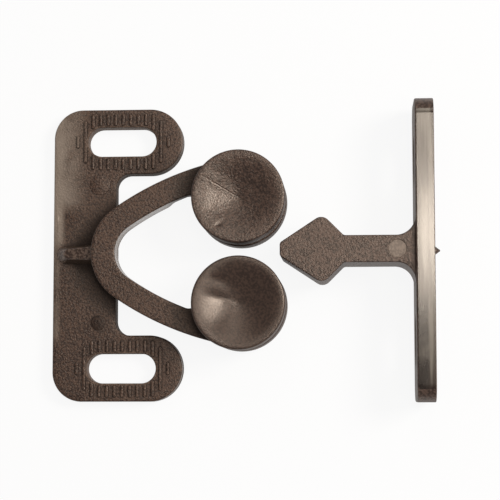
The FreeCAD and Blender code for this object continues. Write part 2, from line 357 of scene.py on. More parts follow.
@dataclass
class Slab:
    """A moulded slab: outlines raised between two heights, with rounded edges.

    Its faces hold inner points at a pitch, or none where that is 0, and its dents are sunk into
    its top. The finish of its holes is the index of the material on their walls.
    """

    outer: Outline
    low: Height
    high: Height
    _: KW_ONLY
    holes: Sequence[Outline] = ()
    top_edge: float = 0.25
    low_edge: float = 0.0
    pitch: float = 0.0
    dents: Sequence[Dent] = ()
    edge_steps: int = 5
    hole_finish: int = 0

    @staticmethod
    def level(height: Height, place: Vector) -> float:
        """A height that is a number or a function of the place."""
        return height(place.x, place.y) if callable(height) else height

    def profile(self) -> list[tuple[float, float, bool]]:
        """The wall from the underside up.

        Returns:
            For each row of points its inset, its rise and whether it rises from the top.
        """
        turns = quarter(self.edge_steps)
        low, top = self.low_edge, self.top_edge
        foot = [(low * (1 - math.sin(turn)), low * (1 - math.cos(turn)), False) for turn in turns]
        brow = [(top * (1 - math.cos(turn)), top * (math.sin(turn) - 1), True) for turn in turns]
        return (foot if low > 0 else [(0.0, 0.0, False)]) + (brow if top > 0 else [(0.0, 0.0, True)])

    def cap(self, built: BMesh, rims: list[list[BMVert]], top: bool) -> None:
        """Fills the underside or the top between its rims.

        Args:
            built: The mesh that is being made.
            rims: The rim of every outline.
            top: True for the top face.
        """
        known = [vert for rim in rims for vert in rim]
        places = [Vector(vert.co.xy) for vert in known]
        edges: list[tuple[int, int]] = []
        start = 0
        for rim in rims:
            edges += ring_edges(start, len(rim))
            start += len(rim)
        loops = [np.array([vert.co.xy for vert in rim]) for rim in rims]
        rings = [ring for dent in self.dents for ring in dent.rings()] if top else []
        for ring in rings:
            edges += ring_edges(len(places), len(ring))
            places += ring
        if self.pitch > 0:
            places += inner_points([*loops, *[np.array(ring) for ring in rings]], self.pitch)
        filled = geometry.delaunay_2d_cdt(places, edges, [], INSIDE_ONLY, WELD, True)
        verts, _, faces, origin, _, _ = filled
        mapped: list[BMVert] = []
        for index, place in enumerate(verts):
            old = min(origin[index]) if origin[index] else len(known)
            if old < len(known):
                mapped.append(known[old])
                continue
            z = self.level(self.high if top else self.low, place)
            if top:
                z -= sum(dent.drop(place.x, place.y) for dent in self.dents)
            mapped.append(built.verts.new((place.x, place.y, z)))
        sums = [sum((verts[i] for i in face), Vector((0, 0))) for face in faces]
        centres = np.array([whole / len(face) for whole, face in zip(sums, faces)])
        void = ~within(centres, loops[0])
        for loop in loops[1:]:
            void |= within(centres, loop)
        for face, centre, empty in zip(faces, centres, void):
            corners = [mapped[i] for i in (face if top else reversed(face))]
            if empty or len(set(corners)) < len(face) or built.faces.get(corners):
                continue
            made = built.faces.new(corners)
            if top and any(math.dist(centre, (d.x, d.y)) < d.radius for d in self.dents):
                made.material_index = 1

    def build(self, name: str) -> Mesh:
        """Makes the mesh, still in millimetres.

        Args:
            name: Name of the mesh.

        Returns:
            The mesh.
        """
        built = bmesh.new()
        rims: dict[bool, list[list[BMVert]]] = {False: [], True: []}
        finishes = [0] + [self.hole_finish] * len(self.holes)
        for finish, loop in zip(finishes, [self.outer, *self.holes]):
            rows: list[list[BMVert]] = []
            for inset, rise, from_top in self.profile():
                height = self.high if from_top else self.low
                row = []
                for place, spot in zip(loop.inset(inset), loop.places):
                    row.append(built.verts.new((place.x, place.y, self.level(height, spot) + rise)))
                rows.append(row)
            walled(built, rows, finish)
            rims[False].append(rows[0])
            rims[True].append(rows[-1])
        self.cap(built, rims[True], True)
        self.cap(built, rims[False], False)
        bmesh.ops.recalc_face_normals(built, faces=built.faces[:])
        return made_mesh(built, name)


def revolve(
    name: str,
    profile: Sequence[tuple[float, float]],
    segments: int,
    shift: Callable[[float, float], float] | None = None,
    shifted: int = 0,
    first_turn: float = 0.0,
) -> Mesh:
    """Turns a profile of radius and height about the Z axis.

    Args:
        name: Name of the mesh.
        profile: Points from the top of the axis, round the outside, to the bottom.
        segments: Facets in a full turn.
        shift: Height added at a place, over the first points of the profile.
        shifted: How many points of the profile it is added to.
        first_turn: Angle in degrees of the first column of points.

    Returns:
        The mesh, in the profile's unit.
    """
    built = bmesh.new()
    rows: list[list[BMVert]] = []
    for index, (radius, height) in enumerate(profile):
        row = []
        for step in range(segments if radius > SAME_PLACE else 1):
            turn = math.radians(first_turn) + math.tau * step / segments
            x, y = radius * math.cos(turn), radius * math.sin(turn)
            lift = shift(x, y) if shift and index < shifted else 0.0
            row.append(built.verts.new((x, y, height + lift)))
        rows.append(row)
    for upper, lower in zip(rows, rows[1:]):
        if len(upper) == 1 and len(lower) == 1:
            continue
        for i, j in ring_edges(0, segments):
            if len(upper) == 1:
                built.faces.new((upper[0], lower[i], lower[j]))
            elif len(lower) == 1:
                built.faces.new((upper[i], lower[0], upper[j]))
            else:
                built.faces.new((upper[i], lower[i], lower[j], upper[j]))
    bmesh.ops.recalc_face_normals(built, faces=built.faces[:])
    return made_mesh(built, name)


def mirrored(mesh: Mesh, name: str) -> Mesh:
    """A copy of a mesh on the other side of the catch's middle plane.

    Args:
        mesh: The mesh to copy.
        name: Name of the copy.

    Returns:
        The copy.
    """
    copy = mesh.copy()
    copy.name = name
    copy.transform(Matrix.Diagonal((1, -1, 1, 1)))
    copy.flip_normals()
    return copy


def shown(name: str, data: ID) -> Object:
    """Puts a mesh, a lamp or a camera into the scene.

    Args:
        name: Name of the object.
        data: What it shows.

    Returns:
        The object.
    """
    made = bpy.data.objects.new(name, data)
    bpy.context.scene.collection.objects.link(made)
    return made


def piece(
    name: str,
    mesh: Mesh,
    materials: Sequence[Material],
    move: Matrix | None = None,
    weigh: bool = True,
) -> Object:
    """Turns a mesh in millimetres into a shown object.

    Args:
        name: Name of the piece.
        mesh: Its mesh.
        materials: Its materials, in the order of its faces' indices.
        move: Where it goes, in millimetres.
        weigh: True where large faces keep their own normals.

    Returns:
        The object, with its place in its mesh.
    """
    if move is not None:
        mesh.transform(move)
    mesh.transform(Matrix.Scale(MM, 4))
    made = shown(name, mesh)
    for material in materials:
        mesh.materials.append(material)
    mesh.shade_smooth()
    mesh.set_sharp_from_angle(angle=math.radians(CREASE))
    if weigh:
        weights = made.modifiers.new("normals", "WEIGHTED_NORMAL")
        weights.keep_sharp = True
        weights.weight = FACE_WEIGHT
    LOG.info("%s: %d faces", name, len(mesh.polygons))
    return made


def joined(name: str, meshes: Sequence[Mesh]) -> Mesh:
    """One mesh of several.

    Args:
        name: Name of the new mesh.
        meshes: The meshes, which are used up.

    Returns:
        The joined mesh.
    """
    built = bmesh.new()
    for mesh in meshes:
        built.from_mesh(mesh)
        bpy.data.meshes.remove(mesh)
    return made_mesh(built, name)


# Node groups


class Wiring:
    """A shader node tree, with the steps that fill and join its nodes."""

    def __init__(self, tree: NodeTree) -> None:
        """Takes the tree to be wired."""
        self.tree = tree

    def feed(self, target: NodeSocket, value: Feed) -> None:
        """Gives an input what it takes.

        Args:
            target: The input.
            value: A socket to join it to, or a colour, a vector or a number to keep.
        """
        if isinstance(value, NodeSocket):
            self.tree.links.new(value, target)
        elif target.type == "RGBA":
            target.default_value = (*value, 1.0)
        else:
            target.default_value = value

    def node(self, kind: str, feeds: Feeds | None = None, **settings: object) -> Node:
        """Adds a node.

        Args:
            kind: Type of the node.
            feeds: What its inputs take, by their names or numbers.
            settings: Properties to set on it.

        Returns:
            The node.
        """
        made = self.tree.nodes.new(kind)
        for label, value in settings.items():
            setattr(made, label, value)
        for place, value in (feeds or {}).items():
            self.feed(made.inputs[place], value)
        return made

    def placed(self, group: "NodeGroup", feeds: Feeds, output: str) -> NodeSocket:
        """Places a shared group in the tree.

        Args:
            group: The group.
            feeds: What its inputs take.
            output: Name of the output that is wanted.

        Returns:
            That output.
        """
        return self.node("ShaderNodeGroup", feeds, node_tree=group.tree).outputs[output]

    def maths(self, operation: str, first: Feed, second: Feed) -> NodeSocket:
        """Adds a sum, product or other operation on two values, and gives its result."""
        return self.node("ShaderNodeMath", {0: first, 1: second}, operation=operation).outputs[0]

    def spread(self, value: Feed, low: Feed, high: Feed) -> NodeSocket:
        """Stretches the part of a value between two levels to the span from 0 to 1."""
        feeds = {"Value": value, "From Min": low, "From Max": high}
        return self.node("ShaderNodeMapRange", feeds, interpolation_type="SMOOTHSTEP").outputs["Result"]

    def mix(self, share: Feed, first: Feed, second: Feed, kind: str = "RGBA") -> NodeSocket:
        """Mixes two colours or two numbers.

        Args:
            share: Share of the second.
            first: What there is where the share is 0.
            second: What there is where the share is 1.
            kind: RGBA for colours or FLOAT for numbers.

        Returns:
            The mix.
        """
        start, end, result = MIX_SOCKETS[kind]
        feeds = {"Factor": share, start: first, end: second}
        return self.node("ShaderNodeMix", feeds, data_type=kind).outputs[result]


class NodeGroup(Wiring):
    """A shader node group with named sockets, built once and placed in several materials."""

    def __init__(
        self, name: str, inputs: dict[str, float | Colour | None], outputs: Sequence[str]
    ) -> None:
        """Makes the group and its sockets.

        Args:
            name: Name of the group.
            inputs: The default of each input, a number or a colour, or None for a vector.
            outputs: Names of the outputs, which are numbers, but for one with the name Colour.
        """
        super().__init__(bpy.data.node_groups.new(name, "ShaderNodeTree"))
        for label, value in inputs.items():
            kind = "Vector" if value is None else "Color" if isinstance(value, tuple) else "Float"
            socket = self.socket(label, "INPUT", kind)
            if value is not None:
                socket.default_value = (*value, 1.0) if kind == "Color" else value
        for label in outputs:
            self.socket(label, "OUTPUT", "Color" if label == "Colour" else "Float")
        self.start = self.tree.nodes.new("NodeGroupInput")
        self.end = self.tree.nodes.new("NodeGroupOutput")

    def socket(self, label: str, way: str, kind: str) -> bpy.types.NodeTreeInterfaceSocket:
        """Adds an input or an output of a kind."""
        return self.tree.interface.new_socket(label, in_out=way, socket_type=f"NodeSocket{kind}")

    def given(self, label: str) -> NodeSocket:
        """The socket that carries an input into the group."""
        return self.start.outputs[label]

    def give(self, label: str, value: NodeSocket) -> None:
        """Joins a value to an output of the group."""
        self.feed(self.end.inputs[label], value)

    def axes(self, label: str) -> NodeOutputs:
        """Splits a vector that the group is given, and gives its parts by the axis."""
        return self.node("ShaderNodeSeparateXYZ", {0: self.given(label)}).outputs

    def noise(self, scale: str, detail: float) -> NodeSocket:
        """Adds a noise texture, read at the vector that the group is given.

        Args:
            scale: The input that gives its scale.
            detail: How many finer octaves it has.

        Returns:
            Its value.
        """
        feeds = {"Vector": self.given("Vector"), "Scale": self.given(scale), "Detail": detail}
        return self.node("ShaderNodeTexNoise", feeds).outputs["Fac"]


def grain_group() -> NodeGroup:
    """The spark-eroded skin of the mould: a fine grain over flow ripples, as a height.

    Returns:
        The group.
    """
    inputs = {"Vector": None, "Grain Scale": 3000.0, "Ripple Scale": 420.0, "Ripple Share": 0.4}
    group = NodeGroup("moulded_grain", inputs, ["Height"])
    fine, ripple = group.noise("Grain Scale", detail=2.0), group.noise("Ripple Scale", detail=4.0)
    ripples = group.maths("MULTIPLY", ripple, group.given("Ripple Share"))
    group.give("Height", group.maths("ADD", fine, ripples))
    return group


def tone_group() -> NodeGroup:
    """The colour of the resin, between two tones, by broad clouds and fine speckles.

    Returns:
        The group.
    """
    inputs = {
        "Vector": None,
        "Light Tone": (0.2, 0.2, 0.2),
        "Dark Tone": (0.05, 0.05, 0.05),
        "Cloud Scale": 130.0,
        "Cloud Share": 0.4,
        "Speckle Scale": 2600.0,
        "Speckle Share": 0.8,
    }
    group = NodeGroup("resin_tone", inputs, ["Colour", "Clouds"])
    low, middle, high = 0.33, 0.5, 0.67
    clouds = group.spread(group.noise("Cloud Scale", detail=3.0), low, high)
    speckles = group.spread(group.noise("Speckle Scale", detail=1.5), low, high)
    level: Feed = middle
    for part, label in ((clouds, "Cloud Share"), (speckles, "Speckle Share")):
        swing = group.maths("MULTIPLY", group.maths("SUBTRACT", part, middle), group.given(label))
        level = group.maths("ADD", swing, level)
    group.give("Colour", group.mix(level, group.given("Dark Tone"), group.given("Light Tone")))
    group.give("Clouds", clouds)
    return group


def wall_group() -> NodeGroup:
    """Upright walls, which slid along the steel and are smoother: a mask that is 1 there.

    Returns:
        The group.
    """
    group = NodeGroup("drawn_wall", {"Normal": None}, ["Mask"])
    slope = group.maths("ABSOLUTE", group.axes("Normal")["Z"], 0.0)
    slanting, upright = 0.6, 0.2
    group.give("Mask", group.spread(slope, slanting, upright))
    return group


def wear_and_sheen_group() -> NodeGroup:
    """Rubbed edges, which also carry a painted highlight: a mask that is 1 where the surface turns
    within a short distance.

    Returns:
        The group.
    """
    group = NodeGroup("edge_wear_and_sheen", {"Vector": None, "Reach": 0.0002, "Break Scale": 700.0}, ["Mask"])
    bevel = group.node("ShaderNodeBevel", {"Radius": group.given("Reach")}, samples=4)
    shape = group.node("ShaderNodeNewGeometry")
    normals = {0: bevel.outputs["Normal"], 1: shape.outputs["Normal"]}
    turn = group.node("ShaderNodeVectorMath", normals, operation="DOT_PRODUCT")
    flat, turned_away = 0.985, 0.86
    edge = group.spread(turn.outputs["Value"], flat, turned_away)
    gone, whole = 0.35, 0.6
    kept = group.spread(group.noise("Break Scale", detail=2.0), gone, whole)
    group.give("Mask", group.maths("MULTIPLY", edge, kept))
    return group


def painted_shade_group() -> NodeGroup:
    """Inner corners and the foot of what stands up, where shade is painted and the grain is dull: a
    mask that is 1 there.

    Returns:
        The group.
    """
    group = NodeGroup("painted_shade", {"Reach": 0.0004}, ["Mask"])
    shade = group.node("ShaderNodeAmbientOcclusion", {"Distance": group.given("Reach")}, samples=8)
    open_share, hidden_share = 0.96, 0.55
    group.give("Mask", group.spread(shade.outputs["AO"], open_share, hidden_share))
    return group


def painted_reflection_group() -> NodeGroup:
    """A painted reflection on a margin, used as a pale sheen and as a dark streak: a mask that is 1
    past both full lines and breaks up before.

    Returns:
        The group.
    """
    inputs = {
        "Vector": None,
        "Start X": -0.0055,
        "Full X": -0.0105,
        "Start Y": 0.002,
        "Full Y": 0.007,
        "Break Scale": 260.0,
    }
    group = NodeGroup("painted_reflection_margin", inputs, ["Mask"])
    parts = group.axes("Vector")
    across, along = (
        group.spread(parts[axis], group.given(f"Start {axis}"), group.given(f"Full {axis}"))
        for axis in ("X", "Y")
    )
    gone, whole = 0.1, 0.6
    kept = group.spread(group.noise("Break Scale", detail=3.0), gone, whole)
    group.give("Mask", group.maths("MULTIPLY", group.maths("MULTIPLY", across, along), kept))
    return group


# Finishes


@dataclass(frozen=True)
class Bloom:
    """A margin with a painted reflection, pale or dark, which starts at two lines and is full at two
    others.
    """

    start_x: float
    full_x: float
    start_y: float
    full_y: float
    strength: float

    def lines(self) -> Feeds:
        """Its four lines as the shared group takes them, in metres."""
        axes = {"X": (self.start_x, self.full_x), "Y": (self.start_y, self.full_y)}
        return {
            f"{label} {axis}": line * MM
            for axis, pair in axes.items()
            for label, line in zip(("Start", "Full"), pair)
        }


@dataclass(frozen=True)
class MouldedFinish:
    """A dark injection-moulded plastic with a fine grain and smoother walls.

    Its reach and depth are in metres, and its scales are per metre, as shaders take them.
    """

    name: str
    dark_tone: Colour
    light_tone: Colour
    worn_and_sheen_tone: Colour
    roughness: float
    wall_roughness: float = 0.3
    # The upright walls' tone is painted light: paler for their reflection of the floor, darker where
    # they stand in shade.
    wall_painted_light: Colour = (0.15, 0.10, 0.07)
    # Strength of the painted shade in inner corners, then the reach and strength of the painted shadow
    # at the foot of raised parts.
    painted_shade: float = 0.8
    foot_reach: float = 0.0045
    foot_painted_shadow: float = 0.0
    painted_reflections: tuple[Bloom, ...] = ()
    painted_reflection_tone: Colour = (0.19, 0.15, 0.12)
    cloud_scale: float = 130.0
    cloud_share: float = 0.5
    speckle_scale: float = 2600.0
    speckle_share: float = 1.6
    grain_scale: float = 3000.0
    grain_depth: float = 0.00009
    ripple_scale: float = 420.0
    ripple_share: float = 0.15
    wear_and_sheen: float = 0.5
    # The painted shade darkens the colour towards this share of the dark tone.
    painted_shade_share: float = 0.5
    rough_swing: float = 0.05
    corner_roughness: float = 0.9
    refraction: float = 1.5
    gloss: float = 0.8
    gloss_tint: Colour = (1.0, 0.86, 0.75)
    stretch: float = 1.0

    def material(self, groups: dict[str, NodeGroup]) -> Material:
        """Builds the material.

        Args:
            groups: The shared node groups by name.

        Returns:
            The material.
        """
        made = bpy.data.materials.new(self.name)
        made.use_nodes = True
        wiring = Wiring(made.node_tree)
        read = wiring.node("ShaderNodeTexCoord").outputs
        drawn = {"Vector": read["Object"], "Scale": (1.0, self.stretch, 1.0)}
        place = wiring.node("ShaderNodeMapping", drawn).outputs["Vector"]
        walls = wiring.placed(groups["wall"], {"Normal": read["Normal"]}, "Mask")
        corners = self.corners(wiring, groups["painted_shade"])
        tones = {"Vector": place, **self.given("Light Tone", "Dark Tone")}
        tones |= self.given("Cloud Scale", "Cloud Share", "Speckle Scale", "Speckle Share")
        tone = wiring.node("ShaderNodeGroup", tones, node_tree=groups["tone"].tree).outputs
        wear_and_sheen = wiring.placed(groups["wear_and_sheen"], {"Vector": place}, "Mask")
        colour = self.with_painted_reflections(wiring, groups["bloom"], read["Object"], tone["Colour"])
        # Painted light on the upright walls: their colour is set to the wall tone.
        colour = wiring.mix(walls, colour, self.wall_painted_light)
        # Edges lighten towards the worn tone: wear, and a painted edge highlight.
        colour = wiring.mix(wiring.maths("MULTIPLY", wear_and_sheen, self.wear_and_sheen), colour, self.worn_and_sheen_tone)
        # Painted shade: corners and the foot of raised parts are darkened towards a dimmer dark tone.
        painted_shade_tone = tuple(self.painted_shade_share * level for level in self.dark_tone)
        grains = {"Vector": place, **self.given("Grain Scale", "Ripple Scale", "Ripple Share")}
        height = wiring.placed(groups["grain"], grains, "Height")
        bumps = {"Distance": self.grain_depth, "Strength": 1.0, "Height": height}
        feeds: Feeds = {
            "Base Color": wiring.mix(corners, colour, painted_shade_tone),
            "Roughness": self.roughened(wiring, tone["Clouds"], walls, corners),
            "Normal": wiring.node("ShaderNodeBump", bumps).outputs["Normal"],
            "IOR": self.refraction,
            "Specular IOR Level": self.gloss,
            "Specular Tint": self.gloss_tint,
        }
        shader = made.node_tree.nodes["Principled BSDF"]
        for label, value in feeds.items():
            wiring.feed(shader.inputs[label], value)
        return made

    def given(self, *labels: str) -> Feeds:
        """The values of this finish that the shared groups take under these names."""
        return {label: getattr(self, label.lower().replace(" ", "_")) for label in labels}

    def corners(self, wiring: Wiring, painted_shade: NodeGroup) -> NodeSocket:
        """Masks the painted shade in the inner corners, and more widely the painted shadow at the foot
        of what stands on the piece.

        Args:
            wiring: The material's nodes.
            painted_shade: The shared group that finds inner corners.

        Returns:
            The mask.
        """
        near = wiring.placed(painted_shade, {}, "Mask")
        wide = wiring.placed(painted_shade, {"Reach": self.foot_reach}, "Mask")
        foot = wiring.maths("MULTIPLY", wide, self.foot_painted_shadow)
        return wiring.maths("MULTIPLY", wiring.maths("MAXIMUM", near, foot), self.painted_shade)

    def with_painted_reflections(
        self,
        wiring: Wiring,
        group: NodeGroup,
        place: NodeSocket,
        tone: NodeSocket,
    ) -> NodeSocket:
        """Lays the painted reflections over the tone of the resin.

        Args:
            wiring: The material's nodes.
            group: The shared group that masks one margin.
            place: The place on the piece.
            tone: The tone without a painted reflection.

        Returns:
            The tone with the painted reflections.
        """
        for bloom in self.painted_reflections:
            feeds = {"Vector": place, **bloom.lines()}
            mask = wiring.maths("MULTIPLY", wiring.placed(group, feeds, "Mask"), bloom.strength)
            tone = wiring.mix(mask, tone, self.painted_reflection_tone)
        return tone

    def roughened(
        self,
        wiring: Wiring,
        clouds: NodeSocket,
        walls: NodeSocket,
        corners: NodeSocket,
    ) -> NodeSocket:
        """The roughness: uneven on the grained faces, another on the walls, dull in the corners.

        Args:
            wiring: The material's nodes.
            clouds: The broad clouds of the resin.
            walls: The mask of the upright walls.
            corners: The mask of the inner corners.

        Returns:
            The roughness.
        """
        low, high = self.roughness - self.rough_swing, self.roughness + self.rough_swing
        uneven = wiring.node("ShaderNodeMapRange", {"Value": clouds, "To Min": low, "To Max": high})
        chosen = wiring.mix(walls, uneven.outputs["Result"], self.wall_roughness, "FLOAT")
        return wiring.mix(corners, chosen, self.corner_roughness, "FLOAT")


CATCH_FINISH = MouldedFinish(
    name="catch_plastic",
    dark_tone=(0.016, 0.005, 0.003),
    light_tone=(0.066, 0.034, 0.022),
    worn_and_sheen_tone=(0.14, 0.105, 0.085),
    roughness=0.40,
    wall_roughness=0.16,
    painted_shade=1.0,
    # Painted sheen: pale reflections along the plate's left margin.
    painted_reflections=(
        Bloom(start_x=-5.5, full_x=-10.5, start_y=6.5, full_y=9.5, strength=0.95),
        Bloom(start_x=-9.5, full_x=-10.6, start_y=0.5, full_y=3.0, strength=0.90),
        Bloom(start_x=-10.2, full_x=-11.2, start_y=-16.0, full_y=-13.0, strength=0.45),
    ),
    painted_reflection_tone=(0.23, 0.185, 0.15),
    # A wide painted shadow round the foot of the spring and the gusset.
    foot_reach=0.006,
    foot_painted_shadow=0.95,
)
# The gusset is the plate's plastic: its paler tones are painted light on its top, and its dark wall
# tone is painted shade on its tip.
LIT_GUSSET_FINISH = replace(
    CATCH_FINISH,
    name="gusset_painted_light",
    dark_tone=(0.030, 0.015, 0.011),
    light_tone=(0.140, 0.094, 0.072),
    wall_roughness=0.5,
    wall_painted_light=(0.05, 0.03, 0.02),
    painted_reflections=(),
    foot_painted_shadow=0.1,
)
# The slot walls are the plate's plastic: this dull mid-brown copy is painted light, standing in for how
# the walls are lit.
SLOT_PAINTED_LIGHT_FINISH = MouldedFinish(
    name="slot_walls_painted_light",
    dark_tone=(0.07, 0.045, 0.033),
    light_tone=(0.14, 0.095, 0.072),
    worn_and_sheen_tone=(0.12, 0.085, 0.065),
    roughness=0.6,
    wall_roughness=0.62,
    wall_painted_light=(0.12, 0.08, 0.06),
    painted_shade=0.0,
    gloss=0.4,
)
ROLLER_FINISH = MouldedFinish(
    name="roller_plastic",
    dark_tone=(0.016, 0.006, 0.004),
    light_tone=(0.063, 0.034, 0.024),
    worn_and_sheen_tone=(0.14, 0.11, 0.09),
    roughness=0.38,
    wall_roughness=0.6,
    wall_painted_light=(0.045, 0.022, 0.015),
    gloss=1.0,
    grain_depth=0.00008,
    ripple_share=0.8,
)
SMOOTH_SHADED_ROLLER_FINISH = replace(
    ROLLER_FINISH,
    name="smooth_roller_painted_shade",
    # Both rollers are one plastic: this light tone, darker than the upper roller's, is painted shade.
    light_tone=(0.047, 0.025, 0.0175),
    roughness=0.36,
    cloud_share=0.3,
    speckle_share=1.2,
    grain_depth=0.00002,
    ripple_share=0.1,
)
STRIKER_FINISH = MouldedFinish(
    name="striker_plastic",
    dark_tone=(0.016, 0.006, 0.004),
    light_tone=(0.078, 0.046, 0.035),
    worn_and_sheen_tone=(0.16, 0.125, 0.10),
    gloss=1.0,
    roughness=0.40,
    wall_roughness=0.55,
    wall_painted_light=(0.05, 0.027, 0.02),
)
PIN_FINISH = MouldedFinish(
    name="striker_pin_mark",
    dark_tone=(0.10, 0.075, 0.06),
    light_tone=(0.17, 0.13, 0.105),
    worn_and_sheen_tone=(0.18, 0.14, 0.11),
    roughness=0.36,
    grain_depth=0.00001,
)
PLATE_PIN_FINISH = MouldedFinish(
    name="plate_pin_mark",
    dark_tone=(0.010, 0.004, 0.003),
    light_tone=(0.034, 0.017, 0.012),
    worn_and_sheen_tone=(0.05, 0.03, 0.022),
    roughness=0.5,
    gloss=0.5,
)
# The striker's long top edge: glossier than the rest, and its pale tone and streaks are painted sheen.
GLOSSY_EDGE_SHEEN_FINISH = MouldedFinish(
    name="striker_edge_gloss_and_painted_sheen",
    dark_tone=(0.020, 0.010, 0.007),
    light_tone=(0.155, 0.135, 0.112),
    worn_and_sheen_tone=(0.32, 0.30, 0.26),
    # Painted reflection: dark streaks along the glossy edge.
    painted_reflections=(
        Bloom(start_x=51.9, full_x=51.3, start_y=-4.0, full_y=-11.0, strength=1.0),
        Bloom(start_x=52.0, full_x=51.3, start_y=8.5, full_y=11.5, strength=0.35),
    ),
    painted_reflection_tone=(0.014, 0.009, 0.007),
    roughness=0.14,
    gloss=0.6,
    gloss_tint=(1.0, 0.93, 0.85),
    painted_shade=0.0,
    cloud_scale=170.0,
    cloud_share=0.8,
    speckle_scale=1400.0,
    speckle_share=0.9,
    grain_scale=900.0,
    grain_depth=0.000012,
    stretch=0.06,
)
FINISHES = (
    CATCH_FINISH,
    LIT_GUSSET_FINISH,
    SLOT_PAINTED_LIGHT_FINISH,
    ROLLER_FINISH,
    SMOOTH_SHADED_ROLLER_FINISH,
    STRIKER_FINISH,
    PIN_FINISH,
    PLATE_PIN_FINISH,
    GLOSSY_EDGE_SHEEN_FINISH,
)


# Sub-assemblies


